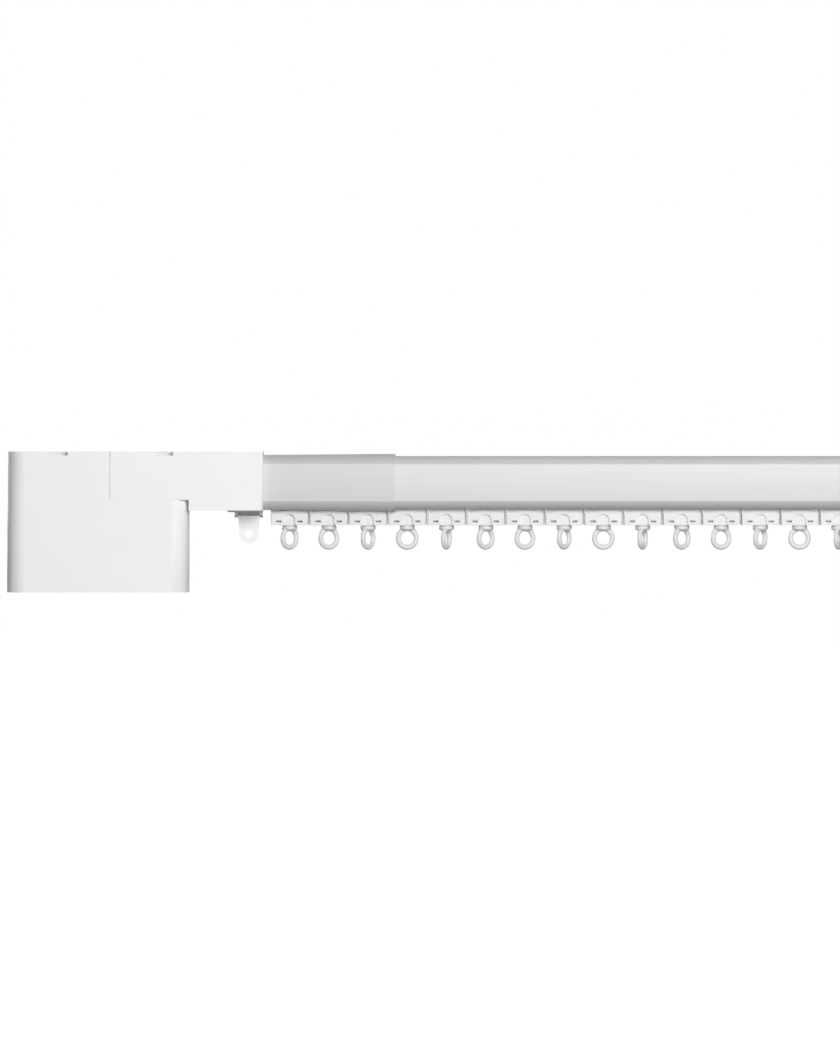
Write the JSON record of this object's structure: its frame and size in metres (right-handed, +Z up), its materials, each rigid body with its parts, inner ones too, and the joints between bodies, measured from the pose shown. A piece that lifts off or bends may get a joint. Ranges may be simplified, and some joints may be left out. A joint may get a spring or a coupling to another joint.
{
  "type": "electric curtain track",
  "caption": "Motorised curtain track: motor unit and belt drive at one end, aluminium rail, lead carriage, linked runners with swivel eyelets, hinged end hook and a tail pulley case.",
  "frame": {"origin": "on the drive pulley's axis, in the flat top face of the gear head", "axes": "+X along the rail away from the motor, +Y to the rear, +Z up towards the ceiling"},
  "size_m": [1.0765, 0.046, 0.0745],
  "materials": {
    "case_white": "satin moulded",
    "gear_head_grey": "moulded",
    "motor_steel": "plated",
    "board_green": "solder mask",
    "module_black": "moulded",
    "light_clear": "clear",
    "button_grey": "moulded",
    "bright_steel": "ground",
    "pulley_ivory": "moulded",
    "belt_black": "matte",
    "rail_aluminium": "pale satin anodised",
    "sleeve_aluminium": "satin anodised",
    "hook_dark": "blackened",
    "runner_white": "moulded",
    "eyelet_white": "moulded",
    "wheel_grey": "moulded"
  },
  "bodies": {
    "track": {"motor_housing": "case_white", "motor_base": "case_white", "gear_head_case": "case_white", "tail_case": "case_white", "tail_cover": "case_white", "gear_head_base": "gear_head_grey", "gear_motor": "motor_steel", "circuit_board": "board_green", "power_module": "module_black", "power_socket": "module_black", "status_light": "light_clear", "drive_bearings": "bright_steel", "case_screws": "bright_steel", "tail_axle": "bright_steel", "drive_belt": "belt_black", "rail": "rail_aluminium", "rail_sleeve": "sleeve_aluminium", "hook_bracket": "hook_dark", "hook_pin": "hook_dark"},
    "drive_train": {"drive_shaft": "bright_steel", "drive_pulley": "pulley_ivory"},
    "tail_wheel": {"tail_pulley": "pulley_ivory"},
    "carriage": {"carriage_body": "runner_white", "carriage_arm": "runner_white", "belt_clamp": "wheel_grey", "clamp_screws": "bright_steel"},
    "near_wheels": {"carriage_axle_near": "wheel_grey"},
    "far_wheels": {"carriage_axle_far": "wheel_grey"},
    "end_hook": {"hook_tab": "runner_white"},
    "button": {"setting_button": "button_grey"},
    "runner_01": {"runner_01": "runner_white"},
    "eyelet_01": {"eyelet_01": "eyelet_white"},
    "runner_02": {"runner_02": "runner_white"},
    "eyelet_02": {"eyelet_02": "eyelet_white"},
    "runner_03": {"runner_03": "runner_white"},
    "eyelet_03": {"eyelet_03": "eyelet_white"},
    "runner_04": {"runner_04": "runner_white"},
    "eyelet_04": {"eyelet_04": "eyelet_white"},
    "runner_05": {"runner_05": "runner_white"},
    "eyelet_05": {"eyelet_05": "eyelet_white"},
    "runner_06": {"runner_06": "runner_white"},
    "eyelet_06": {"eyelet_06": "eyelet_white"},
    "runner_07": {"runner_07": "runner_white"},
    "eyelet_07": {"eyelet_07": "eyelet_white"},
    "runner_08": {"runner_08": "runner_white"},
    "eyelet_08": {"eyelet_08": "eyelet_white"},
    "runner_09": {"runner_09": "runner_white"},
    "eyelet_09": {"eyelet_09": "eyelet_white"},
    "runner_10": {"runner_10": "runner_white"},
    "eyelet_10": {"eyelet_10": "eyelet_white"},
    "runner_11": {"runner_11": "runner_white"},
    "eyelet_11": {"eyelet_11": "eyelet_white"},
    "runner_12": {"runner_12": "runner_white"},
    "eyelet_12": {"eyelet_12": "eyelet_white"},
    "runner_13": {"runner_13": "runner_white"},
    "eyelet_13": {"eyelet_13": "eyelet_white"},
    "runner_14": {"runner_14": "runner_white"},
    "eyelet_14": {"eyelet_14": "eyelet_white"},
    "runner_15": {"runner_15": "runner_white"},
    "eyelet_15": {"eyelet_15": "eyelet_white"}
  },
  "joints": [
    {"name": "carriage_slide", "type": "slide", "parent": "track", "child": "carriage", "axis": [1, 0, 0], "range_m": [0, 0.48], "deforming": ["drive_belt"]},
    {"name": "drive_spin", "type": "hinge", "parent": "track", "child": "drive_train", "pos_m": [0, 0, -0.012], "axis": [0, 0, 1], "continuous": true},
    {"name": "tail_spin", "type": "hinge", "parent": "track", "child": "tail_wheel", "pos_m": [0.975, 0, -0.012], "axis": [0, 0, 1], "continuous": true},
    {"name": "near_wheels_spin", "type": "hinge", "parent": "carriage", "child": "near_wheels", "pos_m": [0.3889, 0, -0.02505], "axis": [0, 1, 0], "continuous": true},
    {"name": "far_wheels_spin", "type": "hinge", "parent": "carriage", "child": "far_wheels", "pos_m": [0.4249, 0, -0.02505], "axis": [0, 1, 0], "continuous": true},
    {"name": "end_hook_swing", "type": "hinge", "parent": "track", "child": "end_hook", "pos_m": [0.0542, 0, -0.0334], "axis": [1, 0, 0], "range_deg": [-75, 48]},
    {"name": "button_press", "type": "slide", "parent": "track", "child": "button", "axis": [0, 0, 1], "range_m": [0, 0.0008], "stiffness_N_per_m": 1500},
    {"name": "runner_01_slide", "type": "slide", "parent": "track", "child": "runner_01", "axis": [1, 0, 0], "range_m": [0, 0.03]},
    {"name": "runner_02_slide", "type": "slide", "parent": "track", "child": "runner_02", "axis": [1, 0, 0], "range_m": [0, 0.06]},
    {"name": "runner_03_slide", "type": "slide", "parent": "track", "child": "runner_03", "axis": [1, 0, 0], "range_m": [0, 0.09]},
    {"name": "runner_04_slide", "type": "slide", "parent": "track", "child": "runner_04", "axis": [1, 0, 0], "range_m": [0, 0.12]},
    {"name": "runner_05_slide", "type": "slide", "parent": "track", "child": "runner_05", "axis": [1, 0, 0], "range_m": [0, 0.15]},
    {"name": "runner_06_slide", "type": "slide", "parent": "track", "child": "runner_06", "axis": [1, 0, 0], "range_m": [0, 0.18]},
    {"name": "runner_07_slide", "type": "slide", "parent": "track", "child": "runner_07", "axis": [1, 0, 0], "range_m": [0, 0.21]},
    {"name": "runner_08_slide", "type": "slide", "parent": "track", "child": "runner_08", "axis": [1, 0, 0], "range_m": [0, 0.24]},
    {"name": "runner_09_slide", "type": "slide", "parent": "track", "child": "runner_09", "axis": [1, 0, 0], "range_m": [0, 0.27]},
    {"name": "runner_10_slide", "type": "slide", "parent": "track", "child": "runner_10", "axis": [1, 0, 0], "range_m": [0, 0.3]},
    {"name": "runner_11_slide", "type": "slide", "parent": "track", "child": "runner_11", "axis": [1, 0, 0], "range_m": [0, 0.33]},
    {"name": "runner_12_slide", "type": "slide", "parent": "track", "child": "runner_12", "axis": [1, 0, 0], "range_m": [0, 0.36]},
    {"name": "runner_13_slide", "type": "slide", "parent": "track", "child": "runner_13", "axis": [1, 0, 0], "range_m": [0, 0.39]},
    {"name": "runner_14_slide", "type": "slide", "parent": "track", "child": "runner_14", "axis": [1, 0, 0], "range_m": [0, 0.42]},
    {"name": "runner_15_slide", "type": "slide", "parent": "track", "child": "runner_15", "axis": [1, 0, 0], "range_m": [0, 0.45]},
    {"name": "eyelet_01_swivel", "type": "hinge", "parent": "runner_01", "child": "eyelet_01", "pos_m": [0.0758, 0, -0.0396], "axis": [0, 0, 1], "continuous": true},
    {"name": "eyelet_02_swivel", "type": "hinge", "parent": "runner_02", "child": "eyelet_02", "pos_m": [0.0966, 0, -0.0396], "axis": [0, 0, 1], "continuous": true},
    {"name": "eyelet_03_swivel", "type": "hinge", "parent": "runner_03", "child": "eyelet_03", "pos_m": [0.1174, 0, -0.0396], "axis": [0, 0, 1], "continuous": true},
    {"name": "eyelet_04_swivel", "type": "hinge", "parent": "runner_04", "child": "eyelet_04", "pos_m": [0.1382, 0, -0.0396], "axis": [0, 0, 1], "continuous": true},
    {"name": "eyelet_05_swivel", "type": "hinge", "parent": "runner_05", "child": "eyelet_05", "pos_m": [0.159, 0, -0.0396], "axis": [0, 0, 1], "continuous": true},
    {"name": "eyelet_06_swivel", "type": "hinge", "parent": "runner_06", "child": "eyelet_06", "pos_m": [0.1798, 0, -0.0396], "axis": [0, 0, 1], "continuous": true},
    {"name": "eyelet_07_swivel", "type": "hinge", "parent": "runner_07", "child": "eyelet_07", "pos_m": [0.2006, 0, -0.0396], "axis": [0, 0, 1], "continuous": true},
    {"name": "eyelet_08_swivel", "type": "hinge", "parent": "runner_08", "child": "eyelet_08", "pos_m": [0.2214, 0, -0.0396], "axis": [0, 0, 1], "continuous": true},
    {"name": "eyelet_09_swivel", "type": "hinge", "parent": "runner_09", "child": "eyelet_09", "pos_m": [0.2422, 0, -0.0396], "axis": [0, 0, 1], "continuous": true},
    {"name": "eyelet_10_swivel", "type": "hinge", "parent": "runner_10", "child": "eyelet_10", "pos_m": [0.263, 0, -0.0396], "axis": [0, 0, 1], "continuous": true},
    {"name": "eyelet_11_swivel", "type": "hinge", "parent": "runner_11", "child": "eyelet_11", "pos_m": [0.2838, 0, -0.0396], "axis": [0, 0, 1], "continuous": true},
    {"name": "eyelet_12_swivel", "type": "hinge", "parent": "runner_12", "child": "eyelet_12", "pos_m": [0.3046, 0, -0.0396], "axis": [0, 0, 1], "continuous": true},
    {"name": "eyelet_13_swivel", "type": "hinge", "parent": "runner_13", "child": "eyelet_13", "pos_m": [0.3254, 0, -0.0396], "axis": [0, 0, 1], "continuous": true},
    {"name": "eyelet_14_swivel", "type": "hinge", "parent": "runner_14", "child": "eyelet_14", "pos_m": [0.3462, 0, -0.0396], "axis": [0, 0, 1], "continuous": true},
    {"name": "eyelet_15_swivel", "type": "hinge", "parent": "runner_15", "child": "eyelet_15", "pos_m": [0.367, 0, -0.0396], "axis": [0, 0, 1], "continuous": true}
  ],
  "couplings": [
    {"joint": "drive_spin", "follows": "carriage_slide", "rad_per_m": 89.76},
    {"joint": "tail_spin", "follows": "carriage_slide", "rad_per_m": 89.76},
    {"joint": "near_wheels_spin", "follows": "carriage_slide", "rad_per_m": 285.71},
    {"joint": "far_wheels_spin", "follows": "carriage_slide", "rad_per_m": 285.71},
    {"joint": "runner_01_slide", "follows": "carriage_slide", "ratio": 0.0625},
    {"joint": "runner_02_slide", "follows": "carriage_slide", "ratio": 0.125},
    {"joint": "runner_03_slide", "follows": "carriage_slide", "ratio": 0.1875},
    {"joint": "runner_04_slide", "follows": "carriage_slide", "ratio": 0.25},
    {"joint": "runner_05_slide", "follows": "carriage_slide", "ratio": 0.3125},
    {"joint": "runner_06_slide", "follows": "carriage_slide", "ratio": 0.375},
    {"joint": "runner_07_slide", "follows": "carriage_slide", "ratio": 0.4375},
    {"joint": "runner_08_slide", "follows": "carriage_slide", "ratio": 0.5},
    {"joint": "runner_09_slide", "follows": "carriage_slide", "ratio": 0.5625},
    {"joint": "runner_10_slide", "follows": "carriage_slide", "ratio": 0.625},
    {"joint": "runner_11_slide", "follows": "carriage_slide", "ratio": 0.6875},
    {"joint": "runner_12_slide", "follows": "carriage_slide", "ratio": 0.75},
    {"joint": "runner_13_slide", "follows": "carriage_slide", "ratio": 0.8125},
    {"joint": "runner_14_slide", "follows": "carriage_slide", "ratio": 0.875},
    {"joint": "runner_15_slide", "follows": "carriage_slide", "ratio": 0.9375}
  ]
}
